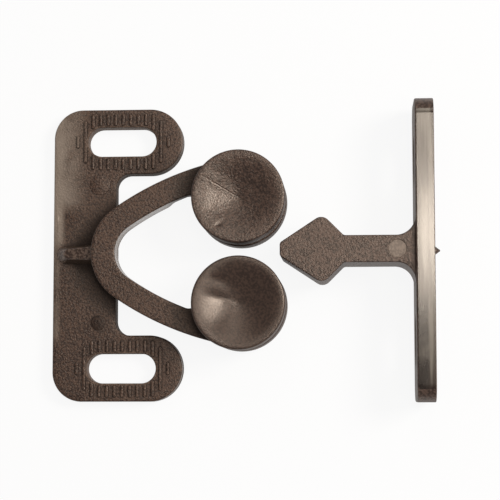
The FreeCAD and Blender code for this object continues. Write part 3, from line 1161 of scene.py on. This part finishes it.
@dataclass
class MountingPlate:
    """The flat plate with its screw slots, grip ribs and gusset."""

    thickness: float = 3.0
    lobe_width: float = 11.2
    corner_r: float = 5.0
    waist_x: float = -0.95
    waist_fillet_r: float = 2.4
    edge: float = 0.3
    low_edge: float = 0.12
    pitch: float = 0.8
    slot_size: tuple[float, float] = (11.8, 5.0)
    rib_count: int = 13
    rib_pitch: float = 1.3
    rib_offset: float = 0.2
    rib_width: float = 0.5
    rib_height: float = 0.25
    rib_edge: float = 0.1
    rib_land: float = 0.3
    rib_field: tuple[float, float] = (15.8, 9.7)
    rib_field_r: float = 5.5
    gusset_tips: tuple[float, float] = (-11.1, -9.7)
    gusset_widths: tuple[float, float] = (3.0, 1.8)
    gusset_spread: float = 0.5
    gusset_rise: float = 1.5
    gusset_climb: float = 2.1
    gusset_end: float = -3.8
    gusset_round: float = 0.3
    gusset_shoulder: float = 0.86
    gusset_foot: float = -0.04
    gusset_facets: int = 16
    gusset_edge_steps: int = 4
    pin_marks: tuple[tuple[float, float, float], ...] = ((-3.78, 11.98, 1.75), (-3.96, -11.66, 1.3))
    pin_rise: float = 0.09
    pin_slope: float = 0.12
    pin_brow: float = 0.03
    pin_brow_share: float = 0.7
    pin_let_in: float = 0.05
    pin_facets: int = 48
    sink: float = 0.2
    sink_width: float = 4.4
    sink_start: float = 2.5
    sink_run: float = 5.0
    low: Vector = field(default_factory=lambda: node_box("mounting_plate")[0])
    high: Vector = field(default_factory=lambda: node_box("mounting_plate")[1])

    def outline(self) -> Outline:
        """The C-shaped outline, with two round-ended lobes.

        Returns:
            The closed outline.
        """
        left, right, top = self.low.x, self.high.x, self.high.y
        bay = top - self.lobe_width
        end = self.lobe_width / 2 * ROUND_SHARE
        half = [
            (self.waist_x, bay, self.waist_fillet_r),
            (right, bay, end),
            (right, top, end),
            (left, top, self.corner_r),
        ]
        lower = [(x, -y, r) for x, y, r in reversed(half)]
        return Outline().polygon(lower + half)

    def top(self, x: float, y: float) -> float:
        """Height of the plate's top, which sinks a little along the upper left margin.

        Args:
            x: Place on the plate.
            y: Place on the plate.

        Returns:
            The height.
        """
        near = eased(1 - (x - self.low.x) / self.sink_width)
        upper = eased((y - self.sink_start) / self.sink_run)
        return self.thickness - self.sink * near * upper

    def pin_mark(self, x: float, y: float, radius: float) -> Mesh:
        """The low round land that an ejector pin left on the top.

        Args:
            x: Its middle.
            y: Its middle.
            radius: Its radius.

        Returns:
            The mesh.
        """
        profile = [
            (0.0, self.pin_rise),
            (radius - self.pin_slope, self.pin_rise),
            (radius - self.pin_brow, self.pin_rise * self.pin_brow_share),
            (radius, -self.pin_let_in),
            (0.0, -self.pin_let_in),
        ]
        mesh = revolve("pin_mark", profile, self.pin_facets)
        mesh.transform(Matrix.Translation((x, y, self.top(x, y))))
        return mesh

    def slot_places(self) -> list[float]:
        """The places of the two slots along Y."""
        middle = self.high.y - self.lobe_width / 2
        return [middle, -middle]

    @staticmethod
    def half_width(length: float, radius: float, x: float) -> float:
        """Half the width of a round-ended shape at a distance along it."""
        beyond = max(0.0, abs(x) - (length / 2 - radius))
        return math.sqrt(max(0.0, radius * radius - beyond * beyond))

    def rib(self, x: float, low: float, high: float) -> Mesh:
        """One grip rib, let a little way into the plate.

        Args:
            x: Its middle across.
            low: Its lower end.
            high: Its upper end.

        Returns:
            The mesh.
        """
        bar = Outline(facets=4).slot((x, (low + high) / 2), (self.rib_width, high - low))
        foot, top = self.thickness - self.rib_edge, self.thickness + self.rib_height
        return Slab(bar, foot, top, top_edge=self.rib_edge, edge_steps=3).build("rib")

    def ribs(self) -> list[Mesh]:
        """The grip ribs of both slots, which stop at the slots' rims and at a rounded field.

        Returns:
            The meshes.
        """
        made: list[Mesh] = []
        land_length = self.slot_size[0] + 2 * self.rib_land
        land_r = self.slot_size[1] / 2 + self.rib_land
        for place in self.slot_places():
            for index in range(self.rib_count):
                step = (index - (self.rib_count - 1) / 2) * self.rib_pitch
                x = step + self.rib_offset
                round_end = self.half_width(self.rib_field[0], self.rib_field_r, step)
                outer = min(self.rib_field[1] / 2, round_end)
                inner = self.half_width(land_length, land_r, x)
                if outer - inner < self.rib_width:
                    continue
                spans = [(inner, outer), (-outer, -inner)] if inner > 0 else [(-outer, outer)]
                made += [self.rib(x, place + low, place + high) for low, high in spans]
        return made

    def tongue(self, inset: float, share: float) -> list[Vector]:
        """One ring of the gusset: a tongue with a round tip, whose top climbs to the spring.

        Args:
            inset: How far the ring lies inside the slanting side.
            share: 0 at the foot and 1 at the top.

        Returns:
            The ring's points, in the order of travel.
        """
        (foot_tip, top_tip), (foot_width, top_width) = self.gusset_tips, self.gusset_widths
        tip = foot_tip + (top_tip - foot_tip) * share + inset
        half = (foot_width + (top_width - foot_width) * share) / 2 - inset
        end = half + self.gusset_spread / 2
        facets = self.gusset_facets
        turns = [math.pi / 2 + math.pi * k / facets for k in range(facets + 1)]
        flat = [(tip + half + half * math.cos(turn), half * math.sin(turn)) for turn in turns]
        flat += [(self.gusset_end, -end), (self.gusset_end, end)]
        slope = self.gusset_climb / (self.gusset_end - top_tip)
        rise = [share * (self.gusset_rise + slope * (x - top_tip)) for x, _ in flat]
        return [Vector((x, y, self.thickness + z)) for (x, y), z in zip(flat, rise)]

    def gusset(self) -> Mesh:
        """The tapered tongue behind the apex, with a soft shoulder round its climbing top.

        Returns:
            The mesh.
        """
        steps = [(0.0, self.gusset_foot), (0.0, 0.0)]
        for turn in quarter(self.gusset_edge_steps):
            share = self.gusset_shoulder + (1 - self.gusset_shoulder) * math.sin(turn)
            steps.append((self.gusset_round * (1 - math.cos(turn)), share))
        built = bmesh.new()
        rows = [[built.verts.new(point) for point in self.tongue(*step)] for step in steps]
        walled(built, rows)
        built.faces.new(rows[-1])
        built.faces.new(list(reversed(rows[0])))
        return made_mesh(built, "gusset")

    def build(self, skins: Skins) -> None:
        """Makes the plate's pieces.

        Args:
            skins: The materials by name.
        """
        skin = skins["catch_plastic"]
        places = [(0, y) for y in self.slot_places()]
        slots = [Outline(HOLE_STEP).slot(place, self.slot_size).as_hole() for place in places]
        slab = Slab(
            self.outline(),
            0.0,
            self.top,
            holes=slots,
            top_edge=self.edge,
            low_edge=self.low_edge,
            pitch=self.pitch,
            hole_finish=1,
        )
        upper_mark, lower_mark = (self.pin_mark(*mark) for mark in self.pin_marks)
        pieces = [
            piece("plate", slab.build("plate"), [skin, skins["slot_walls_painted_light"]]),
            piece("upper_pin_mark", upper_mark, [skin], weigh=False),
            piece("lower_pin_mark", lower_mark, [skins["plate_pin_mark"]], weigh=False),
            piece("grip_ribs", joined("grip_ribs", self.ribs()), [skin]),
            piece("gusset", self.gusset(), [skins["gusset_painted_light"]]),
        ]
        for made in pieces:
            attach(made, "catch")
            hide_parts("mounting_plate")


@dataclass
class Spring:
    """The V spring, in two halves that bend smoothly where each arm leaves the apex."""

    heading: float = 34.8
    band_width: float = 4.05
    arm_rise: float = 0.2
    plate_thickness: float = 3.0
    let_in: float = 0.1
    step: float = 0.35
    pitch: float = 0.4
    edge: float = 0.25
    low_edge: float = 0.1
    edge_steps: int = 4
    eye_r: float = 7.1
    eye_thickness: float = 2.0
    ramp_x: float = 7.95
    ramp_length: float = 1.6
    throat_r: float = 1.5
    bore_r: float = 3.05
    mouth_width: float = 5.2
    mouth_flare: float = 15.0
    lip_r: float = 0.4
    tip_r: float = 0.9
    bend_reach: float = 1.6
    root: Vector = field(default_factory=lambda: joint_place("upper_arm_flex"))
    eye: Vector = field(default_factory=lambda: joint_place("upper_roller_turn"))
    top: float = field(default_factory=lambda: node_box("upper_arm")[1].z)

    def round_eye(self, made: Outline, first: float, last: float) -> None:
        """Adds the open eye: its rim, its bore and the mouth between them, with a lip and a tip
        at each wall.

        The walls part by the flare, so each rounding's centre is found where it lies at its
        radius from the wall and at a known distance from the eye's centre.

        Args:
            made: The outline, which has come to the eye.
            first: Angle in degrees at which the outline meets the rim.
            last: Angle at which it leaves the rim.
        """
        eye = self.eye.xy
        flare = math.radians(self.mouth_flare)
        away = Vector((math.sin(flare), -math.cos(flare)))
        into = Vector((math.cos(flare), math.sin(flare)))
        half = self.mouth_width / 2
        start = Vector((half, -math.sqrt(self.bore_r**2 - half * half)))

        def centre(radius: float, ring: float) -> Vector:
            """Finds a rounding's centre, seen from the eye's.

            Args:
                radius: Radius of the rounding, which touches the right wall.
                ring: Its centre's distance from the eye's.

            Returns:
                The centre.
            """
            foot = start + into * radius
            along = foot.dot(away)
            return foot + away * (math.sqrt(along * along + ring * ring - foot.dot(foot)) - along)

        tip = centre(self.tip_r, self.eye_r - self.tip_r)
        lip = centre(self.lip_r, self.bore_r + self.lip_r)
        wall = 180 + self.mouth_flare
        tip_turn, lip_turn = bearing(tip) + 360, bearing(lip) + 360
        other = Vector((-1, 1))
        made.arc(eye, self.eye_r, first, 540 - tip_turn)
        made.arc(eye + tip * other, self.tip_r, 540 - tip_turn, 540 - wall)
        made.arc(eye + lip * other, self.lip_r, 540 - wall, 720 - lip_turn)
        made.arc(eye, self.bore_r, 540 - lip_turn, lip_turn - 360)
        made.arc(eye + lip, self.lip_r, lip_turn - 180, wall)
        made.arc(eye + tip, self.tip_r, wall, tip_turn)
        made.arc(eye, self.eye_r, tip_turn - 360, last)

    def outline(self) -> Outline:
        """The upper half from above, from the middle plane round the open eye and back.

        Returns:
            The outline.
        """
        half = self.band_width / 2
        turn = math.radians(self.heading)
        inwards = Vector((math.sin(turn), -math.cos(turn)))
        root, eye = self.root.xy, self.eye.xy
        apex_r = root.y / math.cos(turn)
        apex = Vector((root.x + apex_r * math.sin(turn), 0))

        # The bow's radius follows from its outer edge, which runs tangent into the eye.
        across = root - eye
        excess = half - self.eye_r
        bow = (excess * excess - across.dot(across)) / (2 * (across.dot(inwards) - excess))
        hub = root + inwards * bow
        inner, outer = bow - half, bow + half

        # The throat's centre lies at a known distance from the bow's and from the eye's.
        to_eye = eye - hub
        reach = to_eye.length
        near, far = inner - self.throat_r, self.eye_r + self.throat_r
        along = (near * near - far * far + reach * reach) / (2 * reach)
        aside = math.sqrt(near * near - along * along)
        towards = to_eye / reach
        throat = hub + towards * along + Vector((-towards.y, towards.x)) * aside

        start = 90 + self.heading
        made = Outline(self.step)
        made.arc(apex, apex_r - half, 180, start)
        first, last = bearing(throat - hub), bearing(eye - throat)
        made.arc(hub, inner, bearing(root - hub), first)
        made.arc(throat, self.throat_r, first, last if last < first else last - 360)
        self.round_eye(made, bearing(throat - eye) % 360, bearing(to_eye))
        made.arc(hub, outer, bearing(to_eye), bearing(root - hub))
        made.arc(apex, apex_r + half, start, 180)
        LOG.info("bow radius %.2f mm, apex radius %.2f mm", bow, apex_r)
        return made

    def underside(self, x: float, y: float) -> float:
        """Height of the underside: in the plate, clear of it, then up an eased ramp to the eye.

        Args:
            x: Place on the spring.
            y: Place on the spring, on which the height doesn't depend.

        Returns:
            The height.
        """
        if x < self.root.x - self.bend_reach:
            return self.plate_thickness - self.let_in
        clear = self.plate_thickness + self.arm_rise
        ramp = eased((x - self.ramp_x) / self.ramp_length)
        return clear + (self.top - self.eye_thickness - clear) * ramp

    def build(self, skins: Skins) -> None:
        """Makes the two halves.

        Args:
            skins: The materials by name.
        """
        slab = Slab(
            self.outline(),
            self.underside,
            self.top,
            top_edge=self.edge,
            low_edge=self.low_edge,
            pitch=self.pitch,
            edge_steps=self.edge_steps,
        )
        upper = slab.build("upper_spring")
        meshes = {Side.UPPER: upper, Side.LOWER: mirrored(upper, "lower_spring")}
        for side, mesh in meshes.items():
            made = piece(f"{side.label}_spring", mesh, [skins["catch_plastic"]])
            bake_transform(made)
            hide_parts(f"{side.label}_arm", "mounting_plate")


@dataclass(frozen=True)
class Hollow:
    """A soft oblong hollow in a dish, placed on an axis that is turned about the middle."""

    turn: float
    ahead: float
    aside: float
    length: float
    width: float
    depth: float

    def drop(self, x: float, y: float) -> float:
        """How far the dish lies lower at a point.

        Args:
            x: Place on the roller.
            y: Place on the roller.

        Returns:
            The depth there.
        """
        ahead, aside = turned(x, y, self.turn)
        along, across = (ahead - self.ahead) / self.length, (aside - self.aside) / self.width
        return self.depth * math.exp(-along * along - across * across)


@dataclass(frozen=True)
class Wrinkle:
    """One layer of the dish's unevenness, where the resin shrank: a slice of solid noise."""

    scale: float
    slice_z: float
    height: float

    def lift(self, x: float, y: float, side: Side) -> float:
        """How far it lifts the dish at a point."""
        place = Vector((x * self.scale, y * self.scale, side.value * self.slice_z))
        return self.height * noise.noise(place)


WRINKLES = (
    Wrinkle(scale=0.35, slice_z=3.0, height=0.06),
    Wrinkle(scale=0.9, slice_z=7.0, height=0.025),
)
# The gate's dent lies beside the upper roller's parting line, and the folds are the lower one's.
GATE_DENT = Hollow(turn=36.87, ahead=-5.27, aside=-1.86, length=0.75, width=0.4, depth=0.16)
FOLD = Hollow(turn=166.0, ahead=3.0, aside=0.0, length=2.3, width=0.85, depth=0.15)
FAINT_FOLD = Hollow(turn=166.0, ahead=4.2, aside=-2.9, length=1.8, width=0.9, depth=0.10)


@dataclass
class Roller:
    """A knuckle: a spool of two dished discs on a neck."""

    side: Side
    skin: str
    groove_turn: float
    wrinkle: float
    dish_depth: float
    dish_power: float
    hollows: tuple[Hollow, ...]
    line_depth: float = 0.0
    line_width: float = 0.09
    line_fade: float = 1.5
    line_faint: float = 0.3
    rim_power: float = 7.0
    rim_width: float = 0.45
    rim_fade: float = 0.8
    disc_height: float = 4.4
    edge: float = 0.3
    edge_steps: int = 5
    neck_r: float = 3.0
    segments: int = 288
    rings: int = 44
    middle: Vector = field(init=False)
    radius: float = field(init=False)
    half_height: float = field(init=False)

    def __post_init__(self) -> None:
        """Reads the roller's place and size from the frame."""
        low, high = node_box(f"{self.side.label}_roller")
        self.middle = (low + high) / 2
        self.radius = (high.x - low.x) / 2
        self.half_height = (high.z - low.z) / 2

    def parting_line(self, x: float, y: float) -> float:
        """Depth of the parting line, which runs from the rim and is faint beyond the middle.

        Args:
            x: Place on the roller.
            y: Place on the roller.

        Returns:
            The depth there.
        """
        ahead, aside = turned(x, y, self.groove_turn)
        strength = min(1.0, max(self.line_faint, 1 + ahead / self.line_fade))
        return self.line_depth * strength * math.exp(-((aside / self.line_width) ** 2))

    def relief(self, x: float, y: float) -> float:
        """Unevenness of the dish, which dies out towards the rim.

        Args:
            x: Place on the roller.
            y: Place on the roller.

        Returns:
            Height to add there.
        """
        fade = clamped((self.radius - self.rim_width - math.hypot(x, y)) / self.rim_fade)
        lift = self.wrinkle * sum(layer.lift(x, y, self.side) for layer in WRINKLES)
        sunk = self.parting_line(x, y) + sum(hollow.drop(x, y) for hollow in self.hollows)
        return fade * (lift - sunk)

    def dish(self, share: float) -> float:
        """How far the dish has risen at a share of its radius: softly, then rolled at the rim."""
        inner, outer = self.dish_power, self.rim_power
        return (outer * share**inner - inner * share**outer) / (outer - inner)

    def spool(self) -> Mesh:
        """The spool, from the middle of its upper dish round both discs to the lower dish.

        Returns:
            The mesh.
        """
        lip, outer = self.radius - self.rim_width, self.radius - self.edge
        top = self.half_height
        low = top - self.disc_height
        half: list[tuple[float, float]] = []
        for index in range(self.rings + 1):
            share = index / self.rings
            half.append((lip * share, top - self.dish_depth * (1 - self.dish(share))))
        edge = self.edge
        arc = [(edge * math.sin(turn), edge * math.cos(turn)) for turn in quarter(self.edge_steps)]
        half += [(outer + sine, top - edge + cosine) for sine, cosine in arc]
        half += [(outer + cosine, low + edge - sine) for sine, cosine in arc]
        half.append((self.neck_r, low))
        lower = [(radius, -height) for radius, height in reversed(half)]
        name = f"{self.side.label}_roller_spool"
        shifted = self.rings + 1
        return revolve(name, half + lower, self.segments, self.relief, shifted, self.groove_turn)

    def build(self, skins: Skins) -> None:
        """Makes the roller.

        Args:
            skins: The materials by name.
        """
        place = Matrix.Translation(self.middle)
        name = f"{self.side.label}_roller_spool"
        made = piece(name, self.spool(), [skins[self.skin]], place, weigh=False)
        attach(made, f"{self.side.label}_roller")
        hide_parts(f"{self.side.label}_roller")


@dataclass
class Striker:
    """The screw plate on edge, its stem and its diamond head."""

    plate_x: float = 49.65
    thickness: float = 3.15
    corner_r: float = 3.0
    edge: float = 0.3
    front_edge: float = 0.15
    pitch: float = 1.2
    sheen_edge_slope: float = 0.97
    slot_spacing: float = 30.0
    slot_size: tuple[float, float] = (8.5, 4.5)
    head_low: float = 1.0
    head_high: float = 11.0
    head_edge: float = 0.2
    head_step: float = 0.2
    head_pitch: float = 0.8
    head_let_in: float = 1.0
    foot_width: float = 0.12
    foot_radii: tuple[float, float] = (0.05, 0.2)
    nose_width: float = 2.2
    shoulder: tuple[float, float] = (34.4, 11.5)
    neck_x: float = 37.9
    stem_width: float = 4.5
    radii: tuple[float, float, float, float] = (0.7, 1.6, 0.8, 3.2)
    pin: Dent = Dent(46.7, 0.0, 1.55, 0.12)
    prick_r: float = 0.9
    prick_length: float = 1.1
    prick_tip_r: float = 0.12
    prick_blunt: float = 0.05
    prick_let_in: float = 0.3
    prick_facets: int = 40
    low: Vector = field(default_factory=lambda: node_box("striker")[0])
    high: Vector = field(default_factory=lambda: node_box("striker")[1])

    def head_outline(self) -> Outline:
        """The stem and its diamond head from above, let a little way into the plate.

        Returns:
            The closed outline.
        """
        nose_r, shoulder_r, neck_r, root_r = self.radii
        stem = self.stem_width / 2
        foot = stem + root_r + self.foot_width
        half = [
            (self.low.x, self.nose_width / 2, nose_r),
            (self.shoulder[0], self.shoulder[1] / 2, shoulder_r),
            (self.neck_x, stem, neck_r),
            (self.plate_x, stem, root_r),
            (self.plate_x, foot, self.foot_radii[0]),
            (self.plate_x + self.head_let_in, foot, self.foot_radii[1]),
        ]
        lower = [(x, -y, r) for x, y, r in half]
        return Outline(self.head_step).polygon(lower + list(reversed(half)))

    def screw_plate(self) -> Mesh:
        """The screw plate, drawn flat and then stood on its long edge.

        Returns:
            The mesh.
        """
        half, wide = self.high.y, self.high.z
        corners = [(-half, 0), (half, 0), (half, wide), (-half, wide)]
        places = [(way * self.slot_spacing / 2, wide / 2) for way in (1, -1)]
        slots = [Outline(HOLE_STEP).slot(place, self.slot_size).as_hole() for place in places]
        slab = Slab(
            Outline().polygon([(x, y, self.corner_r) for x, y in corners]),
            0.0,
            self.thickness,
            holes=slots,
            top_edge=self.front_edge,
            low_edge=self.edge,
            pitch=self.pitch,
        )
        mesh = slab.build("striker_plate")
        stand = Matrix(((0, 0, 1, self.plate_x), (1, 0, 0, 0), (0, 1, 0, 0), (0, 0, 0, 1)))
        mesh.transform(stand)
        # The faces that look up get the glossy edge finish, whose pale tone is painted sheen.
        for face in mesh.polygons:
            if face.normal.z > self.sheen_edge_slope:
                face.material_index = 1
        return mesh

    def prick(self) -> Mesh:
        """The pointed pip on the plate's back, which marks the wood.

        Returns:
            The mesh.
        """
        profile = [
            (0.0, self.prick_length),
            (self.prick_tip_r, self.prick_length - self.prick_blunt),
            (self.prick_r, 0.0),
            (self.prick_r, -self.prick_let_in),
            (0.0, -self.prick_let_in),
        ]
        mesh = revolve("prick", profile, self.prick_facets)
        place = Matrix.Translation((self.plate_x + self.thickness, 0, self.high.z / 2))
        mesh.transform(place @ Matrix.Rotation(math.pi / 2, 4, "Y"))
        return mesh

    def build(self, skins: Skins) -> None:
        """Makes the striker's pieces.

        Args:
            skins: The materials by name.
        """
        skin = skins["striker_plastic"]
        head = Slab(
            self.head_outline(),
            self.head_low,
            self.head_high,
            top_edge=self.head_edge,
            low_edge=self.head_edge,
            pitch=self.head_pitch,
            dents=[self.pin],
        )
        pieces = [
            piece("striker_head", head.build("striker_head"), [skin, skins["striker_pin_mark"]]),
            piece("striker_plate", self.screw_plate(), [skin, skins["striker_edge_gloss_and_painted_sheen"]]),
            piece("striker_prick", self.prick(), [skin], weigh=False),
        ]
        for made in pieces:
            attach(made, "striker")
            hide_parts("striker")


# Studio


@dataclass(frozen=True)
class Lamp:
    """A soft oblong lamp that points at the middle of the object, in metres."""

    name: str
    place: tuple[float, float, float]
    sides: tuple[float, float]
    power: float
    tint: Colour = (1.0, 0.94, 0.87)

    def build(self, target: Vector) -> None:
        """Hangs the lamp.

        Args:
            target: The point it is aimed at, in metres.
        """
        light = bpy.data.lights.new(self.name, "AREA")
        light.shape = "RECTANGLE"
        light.size, light.size_y = self.sides
        light.energy = self.power
        light.color = self.tint
        made = shown(self.name, light)
        made.location = self.place
        made.rotation_euler = (target - Vector(self.place)).to_track_quat("-Z", "Y").to_euler()


@dataclass
class Studio:
    """The pale floor, the soft light and the camera of the photograph.

    The floor, the lamps and their aim are in metres, and the camera's place is in millimetres.
    """

    camera_place: tuple[float, float, float] = (39.37, -24.25, 275.27)
    camera_turn: tuple[float, float, float] = (5.201, 3.667, -0.087)
    lens: float = 116.24
    sensor: float = 36.0
    clip: tuple[float, float] = (0.01, 10.0)
    floor_side: float = 3.0
    floor_place: tuple[float, float, float] = (0.02, 0.0, -0.00002)
    paper_tone: Colour = (0.86, 0.86, 0.86)
    paper_roughness: float = 0.9
    paper_gloss: float = 0.1
    paper_share: float = 0.9
    world_strength: float = 0.24
    aim: tuple[float, float, float] = (0.022, 0.0, 0.004)
    lamps: tuple[Lamp, ...] = (
        Lamp("key", (0.34, 0.10, 0.36), (0.16, 0.16), 1.65),
        Lamp("overhead", (0.070, 0.042, 0.45), (0.045, 0.045), 0.13),
        Lamp("overhead_far", (0.070, 0.100, 0.45), (0.045, 0.06), 0.065),
        Lamp("right", (0.17, -0.06, 0.45), (0.10, 0.10), 0.20),
        Lamp("back", (0.02, 0.30, 0.40), (0.16, 0.16), 0.22),
        Lamp("upper_left", (-0.08, 0.10, 0.45), (0.08, 0.08), 0.05),
    )

    def floor(self) -> None:
        """Lays the floor, which looks white to the camera and still takes the object's shadow."""
        half = self.floor_side / 2
        mesh = bpy.data.meshes.new("floor")
        corners = [(-half, -half, 0), (half, -half, 0), (half, half, 0), (-half, half, 0)]
        mesh.from_pydata(corners, [], [(0, 1, 2, 3)])
        made = shown("floor", mesh)
        made.location = self.floor_place
        mesh.materials.append(self.paper())

    def paper(self) -> Material:
        """The floor's material: it glows to the camera and in reflections, and takes shadows.

        Returns:
            The material.
        """
        skin = bpy.data.materials.new("paper")
        skin.use_nodes = True
        wiring = Wiring(skin.node_tree)
        shader = skin.node_tree.nodes["Principled BSDF"]
        wiring.feed(shader.inputs["Base Color"], self.paper_tone)
        wiring.feed(shader.inputs["Roughness"], self.paper_roughness)
        wiring.feed(shader.inputs["Specular IOR Level"], self.paper_gloss)
        glow = wiring.node("ShaderNodeEmission", {"Strength": 1.0}).outputs["Emission"]
        rays = wiring.node("ShaderNodeLightPath").outputs
        seen = wiring.maths("MAXIMUM", rays["Is Camera Ray"], rays["Is Glossy Ray"])
        share = wiring.maths("MULTIPLY", seen, self.paper_share)
        blend = wiring.node("ShaderNodeMixShader", {"Fac": share, 1: shader.outputs["BSDF"], 2: glow})
        surface = skin.node_tree.nodes["Material Output"].inputs["Surface"]
        wiring.feed(surface, blend.outputs["Shader"])
        return skin

    def world(self) -> None:
        """Sets up a white surround, dimmer as a light than as a background."""
        sky = bpy.data.worlds.new("studio")
        sky.use_nodes = True
        wiring = Wiring(sky.node_tree)
        back = sky.node_tree.nodes["Background"]
        seen = wiring.node("ShaderNodeLightPath").outputs["Is Camera Ray"]
        levels = {"Value": seen, "To Min": self.world_strength, "To Max": 1.0}
        level = wiring.node("ShaderNodeMapRange", levels).outputs["Result"]
        wiring.feed(back.inputs["Color"], (1.0, 1.0, 1.0))
        wiring.feed(back.inputs["Strength"], level)
        bpy.context.scene.world = sky

    def camera(self) -> None:
        """Sets up the camera, where the photograph's perspective puts it."""
        data = bpy.data.cameras.new("camera")
        data.lens = self.lens
        data.sensor_width = self.sensor
        data.clip_start, data.clip_end = self.clip
        made = shown("camera", data)
        made.location = Vector(self.camera_place) * MM
        made.rotation_euler = Euler([math.radians(turn) for turn in self.camera_turn], "XYZ")
        bpy.context.scene.camera = made

    def build(self) -> None:
        """Sets up the floor, the surround, the lamps and the camera."""
        self.floor()
        self.world()
        self.camera()
        for lamp in self.lamps:
            lamp.build(Vector(self.aim))
        bpy.context.scene.view_settings.view_transform = "Standard"


def main() -> None:
    """Builds every sub-assembly."""
    logging.basicConfig(level=logging.INFO, format="%(name)s: %(message)s")
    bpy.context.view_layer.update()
    groups = {
        "grain": grain_group(),
        "tone": tone_group(),
        "wall": wall_group(),
        "wear_and_sheen": wear_and_sheen_group(),
        "painted_shade": painted_shade_group(),
        "bloom": painted_reflection_group(),
    }
    skins = {finish.name: finish.material(groups) for finish in FINISHES}
    upper = Roller(
        side=Side.UPPER,
        skin="roller_plastic",
        groove_turn=150.0,
        wrinkle=1.0,
        dish_depth=1.75,
        dish_power=1.3,
        hollows=(GATE_DENT,),
        line_depth=0.045,
    )
    lower = Roller(
        side=Side.LOWER,
        skin="smooth_roller_painted_shade",
        groove_turn=166.0,
        wrinkle=0.25,
        dish_depth=1.8,
        dish_power=1.6,
        hollows=(FOLD, FAINT_FOLD),
    )
    for assembly in (MountingPlate(), Spring(), upper, lower, Striker()):
        assembly.build(skins)
    Studio().build()


if __name__ == "__main__":
    main()
